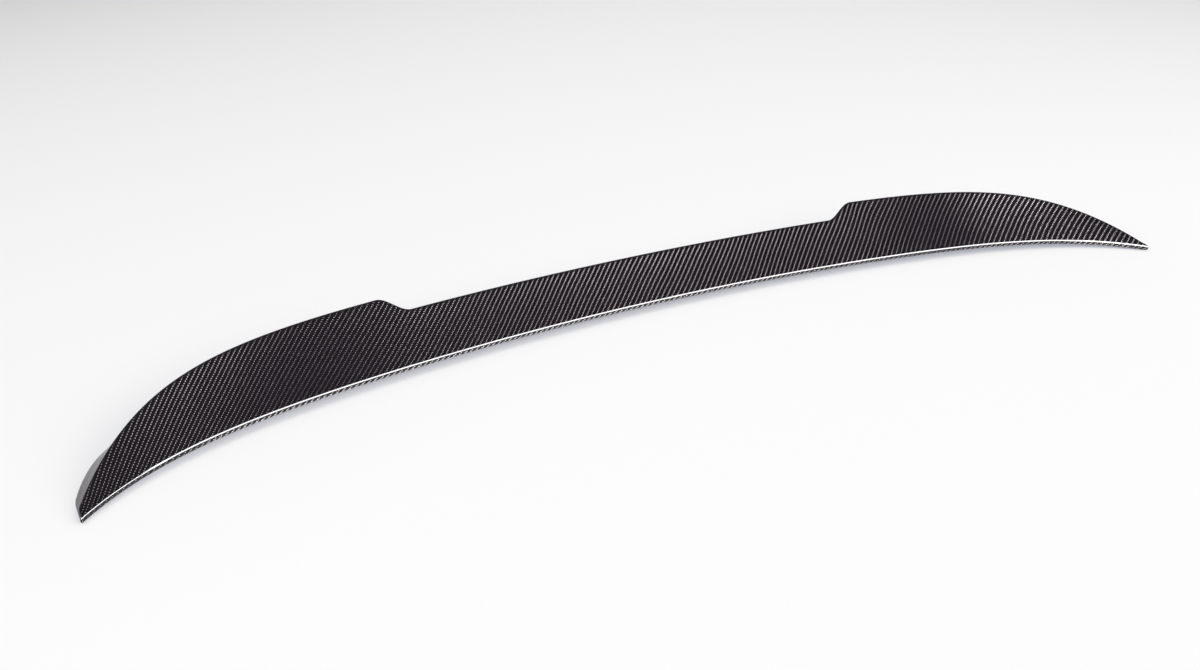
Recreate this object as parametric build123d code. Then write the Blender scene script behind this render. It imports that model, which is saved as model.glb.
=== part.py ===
from build123d import *
from build123d.topology import SkipClean
from math import asin, atan, atan2, cos, hypot, radians, sin, sqrt
import os

# Boot-lid spoiler moulded in one piece: a thin shell, open underneath.
# X runs along the span, +Y towards the rear of the car, +Z up. Millimetres.
# The shell stands on the plane Z = 0, with its origin in the middle of its footprint.

# Overall
span = 1200.0             # tip to tip
tip_rounding = 2.0        # rounding of the end face of each tip

# Leading lip: a full-round edge, swept forward to the tips
lip_sweep = 84.0          # even curve of the lip in plan, middle to tip
lip_hook = 47.0           # further forward hook near the tips
lip_arch = 6.4            # how far the lip stands off the table at the middle
lip_radius = 3.6          # round edge of the lip

# Ramp between the lip and the crest
ramp_run = 48.0           # depth of the ramp at the middle
ramp_run_gain = 13.5      # the ramp deepens towards the wings
ramp_run_tip = 8.0        # depth left at the tips
ramp_rise = 30.4          # climb of the ramp at the middle
ramp_rise_tip = 0.5       # climb left at the tips
ramp_start_share = 0.70   # angle at the lip, as a share of the ramp's mean angle

# Crest, lowered in the middle by a wide notch
wing_kick = 14.8          # how much higher the wings stand than the middle
wing_setback = 9.6        # how much further back the wings reach
notch_width = 546.0       # between the middles of the notch's two slopes
notch_slope = 34.0        # length of each slope along the span
crest_radius = 3.0        # rounding of the crest

# Rear wall: falls from the crest to the foot and wraps round the shoulders
foot_flare = 20.0         # foot behind the crest at the middle
foot_flare_tip = 25.0     # foot behind the crest at the tips
shoulder_flare = 328.0    # spread of the wall where it fairs into the tips

# Shell
wall = 2.0                # laminate
lip_core = 4.0            # solid edge behind the round of the lip
lip_flange = 10.0         # flange turned in under the lip
foot_flange = 12.0        # bonding flange turned in along the foot
flange_thickness = 2.5
foot_trim = 1.0           # moulded below the foot and trimmed off flat
tip_core = 24.0           # solid length at each tip

# Steps between the sections on one half of the span
middle_steps = 6
slope_steps = 8
wing_steps = 16
tip_steps = 4
tip_crowding = 1.5        # the steps of the wing shorten towards the tip

half_span = span / 2
depth = lip_radius + lip_sweep + lip_hook + ramp_run + foot_flare
lip_tip_y = lip_radius - depth / 2
quarter = radians(90)
slant_step = 0.5          # short step along the span, to find how the foot slants


def share(x):
    """Place along the half span: 0 in the middle and 1 at the tip."""
    return abs(x) / half_span


def wing(x):
    """0 in the notch and 1 on the wings, with a smooth step on each slope. It runs out at the tips."""
    step = (abs(x) - (notch_width - notch_slope) / 2) / notch_slope
    step = min(max(step, 0.0), 1.0)
    return step * step * (3 - 2 * step) * (1 - share(x) ** 10)


def lip_centre(x):
    """Centre of the lip's round edge, as (Y, Z)."""
    u = share(x)
    y = lip_tip_y + lip_sweep * (1 - u**2) + lip_hook * (1 - u**8)
    return y, lip_radius + lip_arch * (1 - u**8)


def base_ramp(x):
    """Depth and climb of the ramp without the kick of the wings."""
    u = share(x)
    run = ramp_run + ramp_run_gain * u**2
    run -= (ramp_run + ramp_run_gain - ramp_run_tip) * u**6
    return run, ramp_rise + (ramp_rise_tip - ramp_rise) * u**10


def crest_centre(x):
    """Centre of the crest's rounding, as (Y, Z)."""
    y, z = lip_centre(x)
    run, rise = base_ramp(x)
    return y + run + wing_setback * wing(x), z + rise + wing_kick * wing(x)


def foot_y(x):
    """Outer edge of the foot on the plane Z = 0."""
    u = share(x)
    flare = foot_flare + shoulder_flare * u**12
    flare -= (foot_flare + shoulder_flare - foot_flare_tip) * u**16
    return lip_centre(x)[0] + base_ramp(x)[0] + flare


def ramp_angles(x):
    """Angles of the ramp where it leaves the lip and where it meets the crest,
    with the control point where the two tangents cross."""
    lip_y, lip_z = lip_centre(x)
    crest_y, crest_z = crest_centre(x)
    run, rise = base_ramp(x)
    start = ramp_start_share * atan(rise / run)
    y = (lip_y + crest_y) / 2
    z = lip_z + lip_radius * cos(start) + (y - lip_y + lip_radius * sin(start)) * sin(start) / cos(start)
    end = atan2(crest_z - z, crest_y - y) + asin(crest_radius / hypot(crest_y - y, crest_z - z))
    return start, end, (y, z)


def wall_angle(x):
    """Angle of the rear wall, from the foot up to its tangent on the crest."""
    crest_y, crest_z = crest_centre(x)
    reach_y = crest_y - foot_y(x)
    return atan2(crest_z, reach_y) - asin(crest_radius / hypot(reach_y, crest_z))


def on_circle(centre, radius, angle):
    """Point of a circle, with the angle taken from +Y towards +Z."""
    return centre[0] + radius * cos(angle), centre[1] + radius * sin(angle)


def skin_edges(x, inset=0.0):
    """Outer line across the span at X, from under the lip over the crest to just below
    the foot, drawn inside the skin by the inset. Returns its two ends."""
    lip = lip_centre(x)
    crest = crest_centre(x)
    start, end, control = ramp_angles(x)
    lean = wall_angle(x)
    nose = lip_radius - inset
    top = crest_radius - inset
    lip_under = on_circle(lip, nose, -quarter)
    lip_front = on_circle(lip, nose, 2 * quarter)
    ramp_start = on_circle(lip, nose, start + quarter)
    ramp_middle = on_circle(control, inset / cos((end - start) / 2), (start + end) / 2 - quarter)
    ramp_end = on_circle(crest, top, end + quarter)
    crest_top = on_circle(crest, top, (end + lean) / 2)
    wall_top = on_circle(crest, top, lean - quarter)
    foot = (foot_y(x) - inset / sin(lean), 0.0)
    wall_end = on_circle(foot, -foot_trim / sin(lean), lean)
    ThreePointArc(lip_under, lip_front, ramp_start)
    Bezier(ramp_start, ramp_middle, ramp_end)
    ThreePointArc(ramp_end, crest_top, wall_top)
    Line(wall_top, wall_end)
    return wall_end, lip_under


def tip_section(x, inset=0.0):
    """Solid section of a tip at X."""
    with BuildSketch(Plane.YZ.offset(x)) as section:
        with BuildLine():
            wall_end, lip_under = skin_edges(x, inset)
            Line(wall_end, lip_under)
        make_face()
    return section.sketch


def rounded_section(side, turn):
    """Section of the rounded end of a tip, at an angle of 0 to 90 degrees round the edge."""
    x = half_span - tip_rounding * (1 - sin(turn))
    return tip_section(side * x, tip_rounding * (1 - cos(turn)))


def shell_section(x):
    """Section of the shell at X: the outer line, the inside and the two flanges."""
    lip_y, lip_z = lip_centre(x)
    crest_y, crest_z = crest_centre(x)
    start, end, control = ramp_angles(x)
    lean = wall_angle(x)
    foot_edge = foot_y(x) - foot_flange
    lip_edge = lip_y + lip_flange
    slant = (foot_y(x + slant_step) - foot_y(x - slant_step)) / (2 * slant_step)
    rear_wall = wall * sqrt(1 + slant**2)

    def under(y):
        return (lip_z - lip_radius) * (foot_edge - y) / (foot_edge - lip_y)

    roof_start = on_circle((lip_y, lip_z), lip_radius - wall, start + quarter)
    roof_start = on_circle(roof_start, lip_core + lip_radius, start)
    roof_control = on_circle(control, wall / cos((end - start) / 2), (start + end) / 2 - quarter)
    wall_in = on_circle((foot_y(x), 0.0), rear_wall, lean + quarter)
    below_ramp = (crest_y - wall_in[0]) * sin(end) - (crest_z - wall_in[1]) * cos(end)
    climb = (crest_radius - wall - below_ramp) / sin(lean - end)
    roof_end = on_circle(wall_in, climb, lean)
    wall_low = on_circle(wall_in, (flange_thickness - wall_in[1]) / sin(lean), lean)
    with BuildSketch(Plane.YZ.offset(x)) as section:
        with BuildLine():
            wall_end, lip_under = skin_edges(x)
            flange_low = (foot_edge, -foot_trim)
            Polyline(wall_end, flange_low, (foot_edge, flange_thickness), wall_low, roof_end)
            Bezier(roof_end, roof_control, roof_start)
            Polyline(
                roof_start,
                (roof_start[0], under(roof_start[0]) + flange_thickness),
                (lip_edge, under(lip_edge) + flange_thickness),
                (lip_edge, under(lip_edge)),
                lip_under,
            )
        make_face()
    return section.sketch


def spread(first, last, count, crowd=1.0):
    """Places from first up to, but not including, last. They crowd towards last if crowd is over 1."""
    return [last - (last - first) * (1 - i / count) ** crowd for i in range(count)]


def both_sides(places):
    """The places of one half and their mirror images, from tip to tip."""
    return [-x for x in reversed(places[1:])] + places


notch_inner = (notch_width - notch_slope) / 2
notch_outer = (notch_width + notch_slope) / 2
shell_end = half_span - tip_core
tip_start = half_span - tip_rounding

# Places of the sections: close together on the notch's slopes and towards the tips.
places = spread(0.0, notch_inner, middle_steps)
places += spread(notch_inner, notch_outer, slope_steps)
places += spread(notch_outer, shell_end, wing_steps, tip_crowding)
places += [shell_end]
tip_places = spread(shell_end, tip_start, tip_steps)
tip_turns = spread(0.0, quarter, tip_steps) + [quarter]

# The faces stay as they are drawn, strip by strip: merging them would spoil the solid.
with SkipClean(), BuildPart() as spoiler:
    loft([shell_section(x) for x in both_sides(places)], ruled=True, clean=False)
    for side in (-1, 1):
        sections = [tip_section(side * x) for x in tip_places]
        sections += [rounded_section(side, turn) for turn in tip_turns]
        loft(sections, ruled=True, clean=False)
    split(bisect_by=Plane.XY, keep=Keep.TOP)

# The rounded tips draw the front of the shell back a little: centre it on the origin.
middle = spoiler.part.bounding_box().center().Y
shell = spoiler.part.moved(Location((0, -middle, 0)))

os.makedirs("parts", exist_ok=True)
shell.label = "spoiler_shell"
export_step(shell, "parts/spoiler_shell.step")
print(middle, shell.bounding_box(), shell.volume)
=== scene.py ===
# %% [markdown]
# # A carbon-fibre boot-lid spoiler
# The real part is one moulded shell: cloth woven from carbon tows, set in resin and clear-coated.
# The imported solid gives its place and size. Here it gets a skin fine enough for a gloss finish,
# a woven cloth that follows that skin, and a white studio to be seen in.

# %% Load the frame
import bpy
import numpy as np
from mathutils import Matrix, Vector


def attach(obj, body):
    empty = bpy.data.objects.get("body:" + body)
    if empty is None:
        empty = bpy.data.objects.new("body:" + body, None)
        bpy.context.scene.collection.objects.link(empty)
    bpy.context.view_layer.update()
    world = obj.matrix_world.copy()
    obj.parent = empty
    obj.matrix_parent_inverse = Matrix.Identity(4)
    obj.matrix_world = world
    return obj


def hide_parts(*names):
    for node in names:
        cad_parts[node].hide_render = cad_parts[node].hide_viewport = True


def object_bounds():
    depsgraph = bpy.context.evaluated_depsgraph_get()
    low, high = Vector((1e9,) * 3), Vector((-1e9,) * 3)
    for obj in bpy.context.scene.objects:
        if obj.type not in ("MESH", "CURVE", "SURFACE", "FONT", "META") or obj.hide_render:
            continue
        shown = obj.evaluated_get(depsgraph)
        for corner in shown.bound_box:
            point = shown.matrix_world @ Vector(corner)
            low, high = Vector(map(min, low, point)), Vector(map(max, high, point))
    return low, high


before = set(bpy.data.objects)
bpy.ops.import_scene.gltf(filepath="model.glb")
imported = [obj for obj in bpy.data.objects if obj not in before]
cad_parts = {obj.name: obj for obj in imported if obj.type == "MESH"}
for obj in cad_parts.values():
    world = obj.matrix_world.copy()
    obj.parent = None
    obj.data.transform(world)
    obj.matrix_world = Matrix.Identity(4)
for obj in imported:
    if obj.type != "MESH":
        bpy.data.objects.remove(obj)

cad_low, cad_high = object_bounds()
print("solid, in metres:", [round(high - low, 4) for low, high in zip(cad_low, cad_high)])

# %% [markdown]
# ## The lines that carry the shape
# A shell like this is drawn from a few long lines: the leading lip, the trailing crest and the foot.
# One could trace them as Bezier curves by hand. Formulas are better here, because the solid was made from
# the same ones, so the skin falls on it. Each takes X, the place along the span, and gives Y and Z.
# Everything is in millimetres until the mesh is made.

# %% Lip
MM = 0.001
half_span = 600.0
lip_sweep, lip_hook, lip_arch, lip_radius = 84.0, 47.0, 6.4, 3.6
ramp_run, foot_flare = 48.0, 20.0
lip_middle_y = cad_high.y / MM - foot_flare - ramp_run


def share(x):
    """Place along the half span: 0 in the middle, 1 at the tip."""
    return np.abs(x) / half_span


def lip(x):
    """Centre of the round lip. In plan it is a parabola with a hook that grows with the eighth power of
    the share, and off the table an arch that falls with the eighth power."""
    u = share(x)
    return lip_middle_y - lip_sweep * u**2 - lip_hook * u**8, lip_radius + lip_arch * (1 - u**8)


print("lip at the middle and the tip: Y =", lip(np.array([0.0, half_span]))[0].round(1), "mm")

# %% Ramp and crest
ramp_run_gain, ramp_run_tip = 13.5, 8.0
ramp_rise, ramp_rise_tip = 30.4, 0.5
notch_width, notch_slope = 546.0, 34.0
notch_inner, notch_outer = (notch_width - notch_slope) / 2, (notch_width + notch_slope) / 2
wing_kick, wing_setback, crest_radius = 14.8, 9.6, 3.0


def ramp_size(x):
    """Depth and climb of the ramp. The depth gains with the square of the share and runs out with its
    sixth power, and the climb runs out with the tenth."""
    u = share(x)
    run = ramp_run + ramp_run_gain * u**2 - (ramp_run + ramp_run_gain - ramp_run_tip) * u**6
    return run, ramp_rise + (ramp_rise_tip - ramp_rise) * u**10


def wing(x):
    """0 in the notch and 1 on the wings, by the smooth step 3 s squared less 2 s cubed, running out at the
    tips with the tenth power of the share."""
    step = np.clip((np.abs(x) - notch_inner) / notch_slope, 0, 1)
    return step**2 * (3 - 2 * step) * (1 - share(x) ** 10)


def crest(x):
    """Centre of the crest's rounding: the ramp's end, raised and set back on the wings."""
    y, z = lip(x)
    run, rise = ramp_size(x)
    return y + run + wing_setback * wing(x), z + rise + wing_kick * wing(x)


print("crest height, middle and wing:", crest(np.array([0.0, 350.0]))[1].round(1), "mm")

# %% Foot
foot_flare_tip, shoulder_flare = 25.0, 328.0


def foot(x):
    """Outer edge of the foot. It lies behind the ramp's end by a flare that grows with the twelfth power
    of the share and is taken back with the sixteenth, so the wall fairs round the shoulders."""
    u = share(x)
    flare = foot_flare + shoulder_flare * u**12
    return lip(x)[0] + ramp_size(x)[0] + flare - (foot_flare + shoulder_flare - foot_flare_tip) * u**16


print("foot at the middle and the tip: Y =", foot(np.array([0.0, half_span])).round(1), "mm")

# %% [markdown]
# ## The outer skin
# Across the span the skin is a round nose, a ramp that steepens, a round crest and a straight rear wall.
# A sculpted mesh would need many edge loops to keep these rounds clean. A grid does it directly: each row
# is one place on that line and each column one place along the span, so both rounds stay true arcs. The
# columns stand closest where the shape changes fastest: on the slopes of the notch and at the tips.

# %% Places along the span
tip_core, tip_rounding = 24.0, 2.0
notch_columns, slope_columns, wing_columns, tip_columns, arc_columns = 48, 26, 72, 14, 7
wing_crowd = 1.3


def spaced(first, last, count, crowd=1.0):
    """Places from first up to, not including, last; over 1, crowd draws them towards last."""
    return last - (last - first) * (1 - np.arange(count) / count) ** crowd


shell_end, arc_start = half_span - tip_core, half_span - tip_rounding
tip_arc = np.linspace(0, np.pi / 2, arc_columns)
half_hollow = np.concatenate([
    spaced(0, notch_inner, notch_columns), spaced(notch_inner, notch_outer, slope_columns),
    spaced(notch_outer, shell_end, wing_columns, wing_crowd), [shell_end]])
half_tip = np.concatenate([
    spaced(shell_end, arc_start, tip_columns), half_span - tip_rounding * (1 - np.sin(tip_arc))])
tip_inset = np.concatenate([np.zeros(tip_columns), tip_rounding * (1 - np.cos(tip_arc))])
column_x = np.concatenate([-half_tip[::-1], -half_hollow[:0:-1], half_hollow, half_tip])
hollow, solid_tip = np.zeros(2 * len(half_hollow) - 1, bool), np.ones(len(half_tip), bool)
column_inset = np.concatenate([tip_inset[::-1], hollow, tip_inset])
column_solid = np.concatenate([solid_tip, hollow, solid_tip])
print("columns along the span:", len(column_x), "of which solid:", column_solid.sum())

# %% Helpers for lines across the span
quarter_turn = np.pi / 2


def polar(centre, radius, angle):
    """Point at a distance and an angle, the angle taken from +Y towards +Z."""
    return centre[0] + radius * np.cos(angle), centre[1] + radius * np.sin(angle)


def steps(count, last=False):
    """Even shares from 0 towards 1 as a column, with 1 itself if last is set."""
    return (np.arange(count + last) / count)[:, None]


def between(a, b, t):
    """a and the share t of the way from it to b, one row for each t."""
    return a + (b - a) * t


def straight(a, b, t):
    """Straight run from point a to point b."""
    return tuple(between(p, q, t) for p, q in zip(a, b))


def bent(a, b, c, t):
    """Quadratic Bezier from a by b to c, weighted by (1 - t) squared, 2 t (1 - t) and t squared."""
    return tuple((1 - t) ** 2 * p + 2 * t * (1 - t) * q + t**2 * r for p, q, r in zip(a, b, c))


def stacked(*runs):
    """Runs laid end to end, as Y and Z grids of rows by columns."""
    return tuple(np.concatenate(grids) for grids in zip(*runs))


print("four steps and the last:", steps(4, True).ravel())

# %% Angles shared by the outside and the inside
ramp_start_share = 0.70


def section_angles(x):
    """Slope of the ramp at the lip, a share of its mean slope; the corner where that tangent comes half way
    to the crest; slope of the line from there that touches the crest's round; and lean of the line from the
    foot that touches the same round."""
    (lip_y, lip_z), (crest_y, crest_z) = lip(x), crest(x)
    run, rise = ramp_size(x)
    start = ramp_start_share * np.arctan(rise / run)
    y = (lip_y + crest_y) / 2
    z = lip_z + lip_radius * np.cos(start) + (y - lip_y + lip_radius * np.sin(start)) * np.tan(start)
    to_crest = np.hypot(crest_y - y, crest_z - z)
    end = np.arctan2(crest_z - z, crest_y - y) + np.arcsin(crest_radius / to_crest)
    depth = crest_y - foot(x)
    lean = np.arctan2(crest_z, depth) - np.arcsin(crest_radius / np.hypot(depth, crest_z))
    return start, end, (y, z), lean


start_slope, end_slope = section_angles(0.0)[:2]
print("slope of the middle of the ramp, from", round(np.degrees(start_slope), 1),
      "to", round(np.degrees(end_slope), 1), "degrees")

# %% Outer line
nose_rows, ramp_rows, crest_rows, wall_rows = 18, 44, 16, 22


def outer_skin(x, inset):
    """Nose arc, ramp curve, crest arc and straight wall, drawn inside by the inset at the tips."""
    start, end, corner, lean = section_angles(x)
    nose_radius, top_radius = lip_radius - inset, crest_radius - inset
    nose = polar(lip(x), nose_radius, -quarter_turn - steps(nose_rows) * (np.pi - start))
    ramp_low = polar(lip(x), nose_radius, start + quarter_turn)
    ramp_corner = polar(corner, inset / np.cos((end - start) / 2), (start + end) / 2 - quarter_turn)
    ramp_high = polar(crest(x), top_radius, end + quarter_turn)
    top = polar(crest(x), top_radius, end + quarter_turn + steps(crest_rows) * (lean - end - np.pi))
    wall_top = polar(crest(x), top_radius, lean - quarter_turn)
    wall_foot = (foot(x) - inset / np.sin(lean), 0 * x)
    return stacked(nose, bent(ramp_low, ramp_corner, ramp_high, steps(ramp_rows)), top,
                   straight(wall_top, wall_foot, steps(wall_rows, True)))


outer_y, outer_z = outer_skin(column_x, column_inset)
print("rows across the outside:", len(outer_y))

# %% [markdown]
# ## The inside and the flanges
# Nobody sees these when the part is bonded on, but it may be looked at from below too: a 2 mm laminate,
# open underneath, with a flange turned in along the lip and along the foot. A Solidify modifier would give
# an even thickness but no flanges, so the inside is drawn as its own line. At the tips, which are solid,
# the same rows lie on the base instead, and the jump from one to the other closes the hollow.

# %% Inside of the hollow
wall, lip_core, lip_flange = 2.0, 4.0, 10.0
foot_flange, flange_thickness = 12.0, 2.5
foot_rows, lip_rows, roof_rows = 3, 4, 18
up_rows = (foot_rows, 1, 3, 9)
down_rows = (2, 2, 1, lip_rows)


def hollow_line(x):
    """Under the foot's flange, round its edge, up the inside of the wall, down the roof, which is the
    ramp's curve moved in by the wall, and round the lip's flange to the lip's lowest line. The slant is
    the foot's change over one millimetre of span, and keeps the wall's thickness where it runs aslant."""
    start, end, corner, lean = section_angles(x)
    (lip_y, lip_z), (crest_y, crest_z) = lip(x), crest(x)
    foot_edge, lip_edge, lip_low_z = foot(x) - foot_flange, lip_y + lip_flange, lip_z - lip_radius

    def under(y):
        """Height of the flange's underside: straight from the lip's lowest line down to the foot's edge."""
        return lip_low_z * (foot_edge - y) / (foot_edge - lip_y)

    slant = foot(x + 0.5) - foot(x - 0.5)
    nose_inside = polar((lip_y, lip_z), lip_radius - wall, start + quarter_turn)
    roof_low = polar(nose_inside, lip_core + lip_radius, start)
    roof_corner = polar(corner, wall / np.cos((end - start) / 2), (start + end) / 2 - quarter_turn)
    wall_in = polar((foot(x), 0 * x), wall * np.sqrt(1 + slant**2), lean + quarter_turn)
    below = (crest_y - wall_in[0]) * np.sin(end) - (crest_z - wall_in[1]) * np.cos(end)
    roof_high = polar(wall_in, (crest_radius - wall - below) / np.sin(lean - end), lean)
    wall_low = polar(wall_in, (flange_thickness - wall_in[1]) / np.sin(lean), lean)
    up = [(foot(x), 0 * x), (foot_edge, 0 * x), (foot_edge, 0 * x + flange_thickness), wall_low, roof_high]
    down = [roof_low, (roof_low[0], under(roof_low[0]) + flange_thickness),
            (lip_edge, under(lip_edge) + flange_thickness), (lip_edge, under(lip_edge)), (lip_y, lip_low_z)]
    rise = [straight(a, b, steps(n)) for a, b, n in zip(up, up[1:], up_rows)]
    fall = [straight(a, b, steps(n)) for a, b, n in zip(down, down[1:], down_rows)]
    return stacked(*rise, bent(roof_high, roof_corner, roof_low, steps(roof_rows)), *fall)


hollow_y, hollow_z = hollow_line(column_x)
print("rows across the inside:", len(hollow_y))

# %% Base of the solid tips
base_trim = 1.0


def base_line(x, inset, rows):
    """The same rows on the base of a tip: a straight rise from the foot, trimmed by the inset, to the lip's
    lowest line, started a trim below the table and cut off there so that the foot lies flat."""
    lip_y, lip_z = lip(x)
    trimmed = foot(x) - inset / np.sin(section_angles(x)[3])
    foot_edge, lip_edge = foot(x) - foot_flange, lip_y + lip_flange
    y = np.concatenate([between(trimmed, foot_edge, steps(foot_rows)),
                        between(foot_edge, lip_edge, steps(rows - foot_rows - lip_rows)),
                        between(lip_edge, lip_y, steps(lip_rows))])
    climb = lip_z - lip_radius + inset + base_trim
    return y, np.maximum(climb * (trimmed - y) / (trimmed - lip_y) - base_trim, 0)


base_y, base_z = base_line(column_x, column_inset, len(hollow_y))
inner_y, inner_z = np.where(column_solid, base_y, hollow_y), np.where(column_solid, base_z, hollow_z)
print("height of the inside:", inner_z.max().round(2), "mm")

# %% [markdown]
# ## Where the cloth lies
# Cloth is laid on the mould as a sheet, so its tows keep their width over every curve. The UV map says
# so: U is the length walked along the lip and V the length walked across the skin, both in metres. A
# pattern drawn in that map keeps its true size. A box or planar projection would stretch it on the slopes.
# The skin's height is set to the solid's. The two already agree to a millionth of a millimetre, so this
# only takes up rounding.

# %% Points of the whole shell
loop_y = np.concatenate([outer_y, inner_y[1:]])
loop_z = np.concatenate([outer_z, inner_z[1:]])
points = np.stack([np.broadcast_to(column_x, loop_y.shape), loop_y, loop_z], axis=-1)
points[..., 2] *= cad_high.z / MM / points[..., 2].max()
print("skin, in millimetres:", points.min(axis=(0, 1)).round(2), points.max(axis=(0, 1)).round(2))

# %% Cloth lengths
lip_samples = 6001
walked = np.linalg.norm(np.diff(np.concatenate([points, points[:1]])[..., 1:], axis=0), axis=-1)
across = np.concatenate([np.zeros((1, len(column_x))), np.cumsum(walked, axis=0)])
across -= across[nose_rows]
lip_x = np.linspace(0, half_span, lip_samples)
lip_walk = np.concatenate([[0], np.cumsum(np.hypot(np.diff(lip_x), np.diff(lip(lip_x)[0])))])
along = np.sign(column_x) * np.interp(np.abs(column_x), lip_x, lip_walk)
along = np.broadcast_to(along, across.shape)
print("length of the lip:", round(2 * lip_walk[-1] * MM, 3), "m")

# %% [markdown]
# ## How the cloth was pulled
# No sheet goes over a curved mould without moving. Hands smooth it down, so the tows sway along the lip,
# kink at the root of a wing and lie a little wider on one side than on the other. A noise texture could
# bend the map, but it would wander everywhere alike. A few waves at named places do it better. Their sizes
# and places were set until the cloth ran about as it does in the photograph.

# %% Drift along the span and width across it
ripple, ripple_length, ripple_start = 0.30, 31.0, 1.3
fine_ripple, fine_length, fine_length_across = 0.22, 13.0, 19.0
stretch_along = 0.02
sway, sway_middle, sway_length, sway_end, sway_fade = 2.5, 175.0, 51.0, 260.0, 60.0
tug, tug_middle, tug_width = 1.8, 460.0, 40.0
kink, kink_middle, kink_width = 4.0, 297.0, 24.0
tow_share, tow_share_change, change_length, change_end = 0.985, 0.075, 440.0, 570.0


def bell(x, middle, width):
    """1 at the middle, falling off on both sides as e to the minus square of the distance in widths."""
    return np.exp(-(((x - middle) / width) ** 2))


def climb_share(x, z):
    """0 up to the height of the lip's centre, 1 from the height of the crest's centre, even between."""
    return np.clip((z - lip(x)[1]) / (crest(x)[1] - lip(x)[1]), 0, 1)


def drift(x, u, v, climb):
    """Shift along the span: two ripples, an even stretch, a sway that ends at the right root, a tug on the
    right wing as a tanh step, and a kink at its root that grows with the square of the climb."""
    ripples = ripple * np.sin(x / ripple_length + ripple_start)
    ripples = ripples + fine_ripple * np.sin(x / fine_length + v / fine_length_across)
    swaying = sway * np.sin((x - sway_middle) / sway_length) * np.clip((sway_end - x) / sway_fade, 0, 1)
    tugged = tug * np.tanh((x - tug_middle) / tug_width)
    kinked = kink * climb**2 * bell(x, kink_middle, kink_width)
    return ripples + stretch_along * u + swaying - tugged + kinked


def drawn(x):
    """Share of the walked length that the tows count across: less to the right, more to the left, and back
    to the mean at the tips with the eighth power."""
    tips_out = np.clip(1 - (np.abs(x) / change_end) ** 8, 0, 1)
    return tow_share - tow_share_change * x / change_length * tips_out


climbed = climb_share(column_x, points[..., 2])
cloth_u = along + drift(column_x, along, across, np.concatenate([climbed, climbed[:1]]))
cloth_v = across * drawn(column_x)
print("largest drift:", np.abs(cloth_u - along).max().round(1), "mm")

# %% Closed mesh from the grid
crease_angle = np.radians(40)


def closed_mesh(name, grid, u, v, inside_row):
    """Quads between neighbouring rows and columns, the rows closing on themselves, and one face on each
    end. Points that fall together become one, so a quad may lose a corner or vanish. Rows from inside_row
    on take the second material."""
    rows, columns = grid.shape[:2]
    row, column = np.meshgrid(np.arange(rows), np.arange(columns - 1), indexing="ij")
    corner_row = np.stack([row, row, row + 1, row + 1], axis=-1).reshape(-1, 4)
    corner_column = np.stack([column, column + 1, column + 1, column], axis=-1).reshape(-1, 4)
    merged, vertex = np.unique(grid.reshape(-1, 3).round(5), axis=0, return_inverse=True)
    vertex = vertex.reshape(rows, columns)
    quads = vertex[corner_row % rows, corner_column]
    cloth = np.stack([u[corner_row, corner_column], v[corner_row, corner_column]], axis=-1)
    distinct = quads != np.roll(quads, -1, axis=1)
    whole, cut = distinct.sum(axis=1) == 4, distinct.sum(axis=1) == 3
    triangles = quads[cut][distinct[cut]].reshape(-1, 3)
    ends = [loop[loop != np.roll(loop, 1)] for loop in (vertex[:, 0], vertex[::-1, -1])]
    faces = quads[whole].tolist() + triangles.tolist() + [loop.tolist() for loop in ends]
    mesh = bpy.data.meshes.new(name)
    mesh.from_pydata(merged * MM, [], faces)
    end_cloth = np.concatenate([merged[loop][:, 1:] for loop in ends])
    loops = np.concatenate([cloth[whole].reshape(-1, 2), cloth[cut][distinct[cut]], end_cloth])
    mesh.uv_layers.new(name="cloth").data.foreach_set("uv", (loops * MM).ravel())
    inside = corner_row[:, 0] >= inside_row
    finish = np.concatenate([inside[whole], inside[cut], np.zeros(len(ends), bool)]).astype(np.int32)
    mesh.polygons.foreach_set("material_index", finish)
    mesh.polygons.foreach_set("use_smooth", np.ones(len(finish), bool))
    mesh.set_sharp_from_angle(angle=crease_angle)
    mesh.update()
    return mesh


skin_mesh = closed_mesh("spoiler_skin", points, cloth_u, cloth_v, len(outer_y) - 1)
print("faces:", len(skin_mesh.polygons), "bad:", skin_mesh.validate())

# %% Skin in place of the solid
skin = bpy.data.objects.new("spoiler_skin", skin_mesh)
bpy.context.scene.collection.objects.link(skin)
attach(skin, "root")
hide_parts("spoiler_shell")
print("dressed:", skin.name)

# %% [markdown]
# ## Painted sheen of the cloth
# Carbon fibres shine like fine wire, and where they shine depends on how the light falls. In the photograph
# the cloth is dull over the roots of both wings and lively in the middle and on the right wing. That light
# is painted into the cloth's colour here as a painted sheen, with values that are guesses, set to match its
# tones. Weight paint could hold them. A formula gives them by place, and two numbers on each vertex carry
# them to the material: the painted sheen level, and the mask of the painted reflection under the lip.

# %% Places with more or less painted sheen
# Painted sheen: how much of the pale colour shows, raised and lowered by place along the span.
plain_painted_sheen = 0.56
painted_sheen_patches = {  # Middle and width in mm, change at the lip, further change up to the crest
    "middle of the notch": (0, 130, 0.18, 0.0),
    "left slope of the notch": (-268, 25, 0.08, 0.0),
    "left root": (-376, 90, -0.384, 0.144),
    "left wing": (-455, 45, 0.0, 0.12),
    "left shoulder": (-510, 55, 0.11, 0.0),
    "right root": (373, 64, -0.384, 0.144),
    "right wing": (447, 28, 0.0, 0.12),
}
painted_sheen_runs = {  # Start and length in mm, below 0 towards the left, then the same two changes
    "right wing": (405, 48, 0.18, 0.0),
    "right tip": (510, 60, 0.09, -0.48),
    "left tip": (-525, -50, 0.13, -0.22),
}
lip_gain, climb_gain, crest_gain = 0.82, 0.12, 0.25
edge_fade = 1.8


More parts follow.
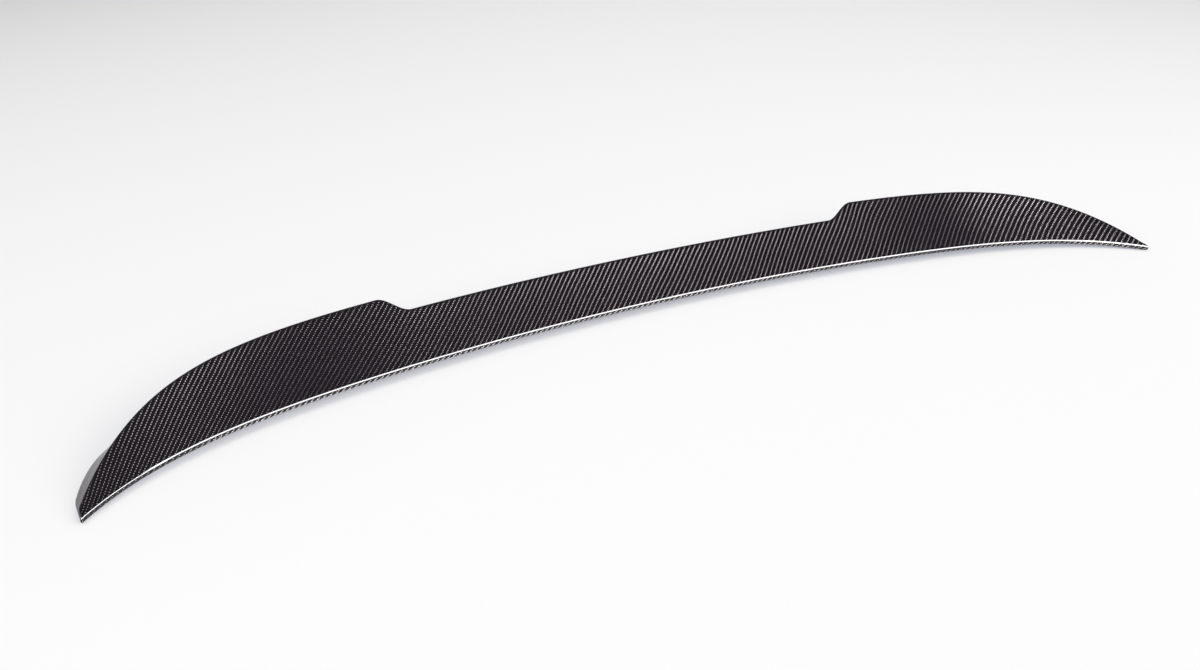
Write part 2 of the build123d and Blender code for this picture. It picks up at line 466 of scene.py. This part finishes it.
def painted_sheen_level(x, z):
    """Level of the painted sheen: the plain level, a bell for each patch and an even rise for each run, all
    gaining with the climb and its square, so the painted sheen grows up the ramp, and fading to nothing on
    the very top of the crest, which leaves a painted dark band there."""
    climb = climb_share(x, z)
    level = plain_painted_sheen
    for middle, width, at_lip, added in painted_sheen_patches.values():
        level = level + bell(x, middle, width) * (at_lip + added * climb)
    for begin, length, at_lip, added in painted_sheen_runs.values():
        level = level + np.clip((x - begin) / length, 0, 1) * (at_lip + added * climb)
    top_edge = np.clip((crest(x)[1] + crest_radius - z) / edge_fade, 0, 1)
    return level * (lip_gain + climb_gain * climb + crest_gain * climb**2) * top_edge


print("lustre at the middle of the lip:", painted_sheen_level(np.zeros(1), lip(np.zeros(1))[1]).round(2))

# %% Painted reflection on the cloth turned under the lip
turn_height, turn_height_loss, turn_fade = 1.2, 0.7, 1.6
under_lip_reflection_level, under_lip_reflection_loss = 0.8, 0.2
loss_begin, loss_length = 60.0, 300.0
left_end, left_fade, left_least = -535.0, 60.0, 0.1
lip_back = 1.0


def right_share(x):
    """0 in the middle, rising evenly to 1 on the right wing."""
    return np.clip((x - loss_begin) / loss_length, 0, 1)


def under_lip(x, y, z):
    """Mask of the painted reflection of the floor on the lip's underside: 1 on the lower front of the lip
    and 0 elsewhere, fading in below a height that is lower to the right, and nearly gone at the left tip."""
    lip_y, lip_z = lip(x)
    below = np.clip((lip_z + turn_height - turn_height_loss * right_share(x) - z) / turn_fade, 0, 1)
    return below * (y < lip_y + lip_back) * np.clip((x - left_end) / left_fade, left_least, 1)


vertex_places = np.empty(3 * len(skin_mesh.vertices), np.float32)
skin_mesh.vertices.foreach_get("co", vertex_places)
vertex_x, vertex_y, vertex_z = vertex_places.reshape(-1, 3).T / MM
# The lower front of the lip takes a painted reflection level in place of the painted sheen.
under_lip_reflection_mask = under_lip(vertex_x, vertex_y, vertex_z)
painted_reflection_under_lip = under_lip_reflection_level - under_lip_reflection_loss * right_share(vertex_x)
painted_sheen_share = painted_sheen_level(vertex_x, vertex_z) * (1 - under_lip_reflection_mask) + painted_reflection_under_lip * under_lip_reflection_mask
# Both painted values go to the material as vertex attributes.
for name, values in (("painted_sheen_level", painted_sheen_share), ("under_lip_reflection_mask", under_lip_reflection_mask)):
    skin_mesh.attributes.new(name, "FLOAT", "POINT").data.foreach_set("value", values.astype(np.float32))
print("lustre from", painted_sheen_share.min().round(2), "to", painted_sheen_share.max().round(2))

# %% [markdown]
# ## The weave
# In a 2x2 twill every tow passes over two and under two, one step along from row to row, so the floats line
# up as diagonals. An image of cloth would tile and blur. The rule itself is short: number the tows both
# ways, take the difference of the numbers modulo four, and the tow along the span is on top for 0 and 1.
# One node group, used by both finishes, tells which tow is on top, how much of its float takes the painted
# sheen and how high a point lies on it.

# %% Small helpers for node trees
def node(tree, kind, **values):
    """A node of that kind, with its plain attributes set by name."""
    made = tree.nodes.new(kind)
    for key, value in values.items():
        setattr(made, key, value)
    return made


def math(tree, operation, a, b=None, c=None):
    """A Math node; each operand is a socket to link or a number to set. Returns its output."""
    made = node(tree, "ShaderNodeMath", operation=operation)
    for socket, operand in zip(made.inputs, (a, b, c)):
        if isinstance(operand, bpy.types.NodeSocket):
            tree.links.new(operand, socket)
        elif operand is not None:
            socket.default_value = operand
    return made.outputs[0]


# %% Which tow is on top
twill_repeat = 6.5
twill = bpy.data.node_groups.new("twill_cloth", "ShaderNodeTree")
tow_width = twill.interface.new_socket("Tow", in_out="INPUT", socket_type="NodeSocketFloat")
tow_width.default_value = twill_repeat / 4 * MM
for name in ("Span", "PaintedSheen", "Height"):
    twill.interface.new_socket(name, in_out="OUTPUT", socket_type="NodeSocketFloat")
twill_in, twill_out = node(twill, "NodeGroupInput"), node(twill, "NodeGroupOutput")
cloth_map = node(twill, "ShaderNodeUVMap", uv_map="cloth")
cloth_place = node(twill, "ShaderNodeSeparateXYZ")
twill.links.new(cloth_map.outputs["UV"], cloth_place.inputs["Vector"])
tows_u = math(twill, "DIVIDE", cloth_place.outputs["X"], twill_in.outputs["Tow"])
tows_v = math(twill, "DIVIDE", cloth_place.outputs["Y"], twill_in.outputs["Tow"])
part_u, part_v = math(twill, "FRACT", tows_u), math(twill, "FRACT", tows_v)
lag = math(twill, "SUBTRACT", math(twill, "FLOOR", tows_u), math(twill, "FLOOR", tows_v))
lag = math(twill, "FLOORED_MODULO", lag, 4.0)
span_tow = math(twill, "LESS_THAN", lag, 1.5)
cross_tow = math(twill, "SUBTRACT", 1.0, span_tow)
twill.links.new(span_tow, twill_out.inputs["Span"])
print("tow:", round(tow_width.default_value / MM, 3), "mm")

# %% Crowns of the floats
low_end = 0.3


def on_top(if_span, if_cross):
    """The first value where a tow along the span is on top, the second where one across it is."""
    first = math(twill, "MULTIPLY", if_span, span_tow)
    return math(twill, "MULTIPLY_ADD", if_cross, cross_tow, first)


def crown(place):
    """1 half way from 0 to 1 and 0 at both, as a parabola: 1 less the square of twice the place less 1."""
    off = math(twill, "MULTIPLY_ADD", place, 2.0, -1.0)
    return math(twill, "SUBTRACT", 1.0, math(twill, "MULTIPLY", off, off))


cross_lag = math(twill, "SUBTRACT", 3.0, lag)
float_place = on_top(math(twill, "ADD", lag, part_u), math(twill, "ADD", cross_lag, part_v))
along_crown = crown(math(twill, "MULTIPLY", float_place, 0.5))
across_crown = crown(on_top(part_v, part_u))
float_arch = math(twill, "MULTIPLY_ADD", along_crown, 1 - low_end, low_end)
twill.links.new(math(twill, "MULTIPLY", across_crown, float_arch), twill_out.inputs["Height"])
print("nodes so far:", len(twill.nodes))

# %% Painted sheen of the floats along the span
dull_side, side_loss, least_side = 6.6, 6.0, 1.2
dull_length, length_loss, least_length = 11.0, 3.5, 8.5
widening = 0.8
# Painted sheen level and painted reflection mask, read from the vertex attributes.
painted_sheen_here = node(twill, "ShaderNodeAttribute", attribute_name="painted_sheen_level").outputs["Fac"]
reflection_mask_here = node(twill, "ShaderNodeAttribute", attribute_name="under_lip_reflection_mask").outputs["Fac"]
wide_under = math(twill, "MULTIPLY_ADD", reflection_mask_here, -widening, 1.0)


def sharpness(dull, loss, least):
    """Power that narrows the painted highlight on each crown: highest where the painted sheen is low, so
    that only dots of it shine there, falling with the painted sheen level to the least, and cut to a fifth
    on the lower front of the lip, where the painted reflection covers the whole float."""
    power = math(twill, "MAXIMUM", math(twill, "MULTIPLY_ADD", painted_sheen_here, -loss, dull), least)
    return math(twill, "MULTIPLY", power, wide_under)


# Painted highlight on the crown of each float along the span, scaled by the painted sheen level.
side = math(twill, "POWER", across_crown, sharpness(dull_side, side_loss, least_side))
length = math(twill, "POWER", along_crown, sharpness(dull_length, length_loss, least_length))
float_painted_sheen = math(twill, "MULTIPLY", math(twill, "MULTIPLY", length, side), painted_sheen_here)
twill.links.new(math(twill, "MULTIPLY", float_painted_sheen, span_tow), twill_out.inputs["PaintedSheen"])
print("twill group:", len(twill.nodes), "nodes")

# %% [markdown]
# ## Two finishes
# Outside, the cloth lies under a thick clear coat that is polished flat: the weave has a sheen of its own,
# and the coat mirrors the studio over it. Inside, there is no coat, and the resin shows the crowns of the
# tows. Two shaders could be mixed, but the Principled shader has a Coat layer with a normal of its own, so
# one is enough. Its Anisotropic value stretches the sheen of the fibres, as on brushed metal.

# %% Relief and direction of the fibres
relief_depth = 0.2


def weave_relief(tree, shader, cloth, strength):
    """The crowns as a bump in the shader's normal. The coat keeps the plain one."""
    relief = node(tree, "ShaderNodeBump")
    relief.inputs["Strength"].default_value = strength
    relief.inputs["Distance"].default_value = relief_depth * MM
    tree.links.new(cloth.outputs["Height"], relief.inputs["Height"])
    tree.links.new(relief.outputs["Normal"], shader.inputs["Normal"])


def fibre_direction(tree, shader):
    """Tangent across the span: the face's normal crossed with the U direction of the cloth. Only the tows
    along the span shine, so one direction serves them all."""
    span_way = node(tree, "ShaderNodeTangent", direction_type="UV_MAP", uv_map="cloth")
    face = node(tree, "ShaderNodeNewGeometry")
    cross_way = node(tree, "ShaderNodeVectorMath", operation="CROSS_PRODUCT")
    tree.links.new(face.outputs["Normal"], cross_way.inputs[0])
    tree.links.new(span_way.outputs["Tangent"], cross_way.inputs[1])
    tree.links.new(cross_way.outputs["Vector"], shader.inputs["Tangent"])


print("relief:", relief_depth, "mm")

# %% Carbon finishes
fibre_values = {"Roughness": 0.6, "Specular IOR Level": 0.0, "Anisotropic": 0.95,
                "Specular Tint": (0.3, 0.3, 0.3, 1), "Coat Roughness": 0.02, "Coat IOR": 1.65}


def carbon(name, dark, pale, relief, coat):
    """Dark cloth that turns pale where the painted sheen of its floats lies, a painted highlight mixed into
    the base colour. Tows along the span are metallic, so they carry the stretched sheen; tows across it
    stay dark and have none."""
    material = bpy.data.materials.new(name)
    material.use_nodes = True
    tree = material.node_tree
    shader = tree.nodes["Principled BSDF"]
    cloth = node(tree, "ShaderNodeGroup", node_tree=twill)
    colour = node(tree, "ShaderNodeMix", data_type="RGBA")
    colour.inputs["A"].default_value = (*dark, 1)
    colour.inputs["B"].default_value = (*pale, 1)
    # The pale colour comes in where the painted sheen lies.
    tree.links.new(cloth.outputs["PaintedSheen"], colour.inputs["Factor"])
    tree.links.new(colour.outputs["Result"], shader.inputs["Base Color"])
    tree.links.new(cloth.outputs["Span"], shader.inputs["Metallic"])
    weave_relief(tree, shader, cloth, relief)
    fibre_direction(tree, shader)
    for socket, value in fibre_values.items():
        shader.inputs[socket].default_value = value
    shader.inputs["Coat Weight"].default_value = coat
    return material


skin_mesh.materials.append(
    carbon("carbon_gloss", (0.0078, 0.0062, 0.0083), (0.380, 0.346, 0.349), relief=0.5, coat=1.0))
skin_mesh.materials.append(
    carbon("carbon_bare", (0.008, 0.008, 0.009), (0.26, 0.25, 0.24), relief=0.9, coat=0.0))
print("finishes:", [finish.name for finish in skin_mesh.materials])

# %% [markdown]
# ## Paper floor
# The part lies on white paper that is lit almost to white in front. Its greying towards the back is painted
# shade in the paper's colour. Lamps alone would have to suit the paper and the black part at once. So the
# paper has a painted glow of its own, which keeps shadows pale. That glow is cool and the lit paper warm:
# together they are neutral, and a shadow, which takes away some of the warm, looks a little blue. The part
# mirrors the paper at about half its white, so its end walls stay grey. The painted greying was set to
# match
# the photograph: it is laid out from the floor point under the camera, in the direction that the camera
# looks, and stays there if the camera moves.

# %% Floor
floor_reach = 9.0
floor_corners = [(-floor_reach, -floor_reach, 0), (floor_reach, -floor_reach, 0),
                 (floor_reach, floor_reach, 0), (-floor_reach, floor_reach, 0)]
floor_mesh = bpy.data.meshes.new("floor")
floor_mesh.from_pydata(floor_corners, [], [(0, 1, 2, 3)])
floor = bpy.data.objects.new("floor", floor_mesh)
bpy.context.scene.collection.objects.link(floor)
print("floor:", 2 * floor_reach, "m square")

# %% Painted shade on the paper
camera_turn = np.radians(28)
camera_before, camera_left = 1.228, 0.072
depth_fade, corner_fade, right_gain = 0.020, 0.009, 0.05
greyest, whitest = 0.6, 0.975
paper = bpy.data.materials.new("white_paper")
paper.use_nodes = True
paper_tree = paper.node_tree
paper_place = node(paper_tree, "ShaderNodeTexCoord")


def paper_way(direction, start):
    """Metres along a direction on the paper, from the floor point under the camera, which lies the start's
    length before the part's middle that way."""
    way = node(paper_tree, "ShaderNodeVectorMath", operation="DOT_PRODUCT")
    paper_tree.links.new(paper_place.outputs["Object"], way.inputs[0])
    way.inputs[1].default_value = direction
    return math(paper_tree, "ADD", way.outputs["Value"], start)


# Painted shade: the paper darkens with the square of the depth and towards the back corners, and lightens
# to the right.
depth = paper_way((np.sin(camera_turn), np.cos(camera_turn), 0), camera_before)
right = paper_way((np.cos(camera_turn), -np.sin(camera_turn), 0), camera_left)
depth_squared = math(paper_tree, "MULTIPLY", depth, depth)
right_squared = math(paper_tree, "MULTIPLY", right, right)
back_corners = math(paper_tree, "MULTIPLY", depth_squared, right_squared)
painted_paper_light = math(paper_tree, "MULTIPLY_ADD", depth_squared, -depth_fade, 1.0)
painted_paper_light = math(paper_tree, "MULTIPLY_ADD", back_corners, -corner_fade, painted_paper_light)
painted_paper_light = math(paper_tree, "MULTIPLY_ADD", right, right_gain, painted_paper_light)
painted_paper_light = math(paper_tree, "MINIMUM", math(paper_tree, "MAXIMUM", painted_paper_light, greyest), whitest)
print("paper from", greyest, "to", whitest)

# %% Lit paper and its painted glow
warm_lit, cool_glow, mirrored_lit = (1.004, 0.971, 0.882), (0.912, 0.962, 1.110), (0.530, 0.520, 0.545)
glow_share = 0.4
ray_kind = node(paper_tree, "ShaderNodeLightPath")
to_camera = ray_kind.outputs["Is Camera Ray"]
lit_colour = node(paper_tree, "ShaderNodeCombineColor")
glow_colour = node(paper_tree, "ShaderNodeCombineColor")
for channel, (warm, cool, mirrored) in enumerate(zip(warm_lit, cool_glow, mirrored_lit)):
    tint = math(paper_tree, "MULTIPLY_ADD", to_camera, warm - mirrored, mirrored)
    paper_tree.links.new(math(paper_tree, "MULTIPLY", painted_paper_light, tint), lit_colour.inputs[channel])
    paper_tree.links.new(math(paper_tree, "MULTIPLY", painted_paper_light, cool), glow_colour.inputs[channel])
lit_paper = paper_tree.nodes["Principled BSDF"]
lit_paper.inputs["Roughness"].default_value = 0.9
lit_paper.inputs["Specular IOR Level"].default_value = 0.0
paper_tree.links.new(lit_colour.outputs["Color"], lit_paper.inputs["Base Color"])
# Painted glow: the paper gives off light of its own, seen only by the camera, which keeps shadows on it
# pale.
paper_glow = node(paper_tree, "ShaderNodeEmission")
paper_tree.links.new(glow_colour.outputs["Color"], paper_glow.inputs["Color"])
blend = node(paper_tree, "ShaderNodeMixShader")
paper_tree.links.new(math(paper_tree, "MULTIPLY", to_camera, glow_share), blend.inputs["Fac"])
paper_tree.links.new(lit_paper.outputs["BSDF"], blend.inputs[1])
paper_tree.links.new(paper_glow.outputs["Emission"], blend.inputs[2])
paper_tree.links.new(blend.outputs["Shader"], paper_tree.nodes["Material Output"].inputs["Surface"])
floor_mesh.materials.append(paper)
print("own white of the paper:", glow_share)

# %% [markdown]
# ## Lamps
# A wide softbox in front, to the right, lights the floats. A smaller one, high up on the left, throws
# the short shadow under the lip. The bright line along the lip is a mirror image, and a mirror image needs
# something to show: a card for the lip and one for each tip. A bright plane would do, but it would light
# the scene as well. These are area lamps that diffuse rays can't see, so they add highlights without
# washing out the cloth or the paper.

# %% Softboxes and cards
lamp_tint, card_tint = (1.02, 1.0, 0.97), (1, 1, 1)


def softbox(name, bearing, elevation, distance, width, height, radiance, card=False):
    """Rectangular lamp aimed at the part from a bearing (0 in front, 90 to the right) and an elevation, in
    degrees. Its power is the radiance times pi times its area. A card is only there to be mirrored."""
    lamp = bpy.data.lights.new(name, "AREA")
    lamp.shape = "RECTANGLE"
    lamp.size, lamp.size_y = width, height
    lamp.energy = radiance * np.pi * width * height
    lamp.color = card_tint if card else lamp_tint
    made = bpy.data.objects.new(name, lamp)
    bpy.context.scene.collection.objects.link(made)
    aside, up = np.radians(bearing), np.radians(elevation)
    towards = Vector((np.sin(aside) * np.cos(up), -np.cos(aside) * np.cos(up), np.sin(up)))
    made.location = towards * distance
    made.rotation_euler = (-towards).to_track_quat("-Z", "Y").to_euler()
    made.visible_diffuse = not card


softbox("front_softbox", bearing=26, elevation=31, distance=14.0, width=14.6, height=6.2, radiance=3.85)
softbox("top_softbox", bearing=262, elevation=63, distance=9.0, width=4.6, height=5.2, radiance=2.6)
softbox("lip_card", bearing=14.5, elevation=29, distance=7.2, width=11.2, height=4.7, radiance=16.0,
        card=True)
softbox("left_tip_card", bearing=64, elevation=11, distance=7.2, width=3.7, height=2.1, radiance=20.0,
        card=True)
softbox("right_tip_card", bearing=-10, elevation=28, distance=7.1, width=3.4, height=4.8, radiance=14.0,
        card=True)

# %% [markdown]
# ## The room
# The walls of a white room fill the shadows. An even world does the same, but in the gloss of the ramp it
# would show as a grey veil, where a real studio is dark overhead. So the world is even for diffuse light,
# and where it is mirrored it is bright only near the horizon.

# %% World
room_fill, room_tint = 0.615, (0.985, 0.99, 1.015, 1)
mirrored_horizon, mirrored_overhead, overhead_from = 0.8, 0.08, 0.4
world = bpy.data.worlds.new("studio")
bpy.context.scene.world = world
world.use_nodes = True
room = world.node_tree
room_place = node(room, "ShaderNodeTexCoord")
room_height = node(room, "ShaderNodeSeparateXYZ")
room.links.new(room_place.outputs["Generated"], room_height.inputs["Vector"])
mirrored_room = node(room, "ShaderNodeMapRange")
mirrored_room.inputs["From Max"].default_value = overhead_from
mirrored_room.inputs["To Min"].default_value = mirrored_horizon
mirrored_room.inputs["To Max"].default_value = mirrored_overhead
room.links.new(room_height.outputs["Z"], mirrored_room.inputs["Value"])
room_ray = node(room, "ShaderNodeLightPath")
brightness = node(room, "ShaderNodeMix", data_type="FLOAT")
brightness.inputs["A"].default_value = room_fill
room.links.new(room_ray.outputs["Is Glossy Ray"], brightness.inputs["Factor"])
room.links.new(mirrored_room.outputs["Result"], brightness.inputs["B"])
room.links.new(brightness.outputs["Result"], room.nodes["Background"].inputs["Strength"])
room.nodes["Background"].inputs["Color"].default_value = room_tint
print("room fill:", room_fill)

# %% [markdown]
# ## Camera
# The part is seen from the front left and from above, at about 1.4 m. The place and the lens were worked
# out from both long edges of the part in the photograph, which is surer than moving a camera by eye until
# it looks right. The Standard view transform keeps white paper white.

# %% Camera
camera_down, camera_right = 26.380, 28.022
camera_lens = bpy.data.cameras.new("camera")
camera_lens.sensor_width = 36.0
camera_lens.lens = 39.0
camera = bpy.data.objects.new("camera", camera_lens)
bpy.context.scene.collection.objects.link(camera)
camera.location = (-0.639387, -1.050821, 0.593668)
camera.rotation_euler = np.radians((90 - camera_down, 0, -camera_right))
bpy.context.scene.camera = camera
bpy.context.scene.view_settings.view_transform = "Standard"
print("camera to the part:", round(camera.location.length, 2), "m")
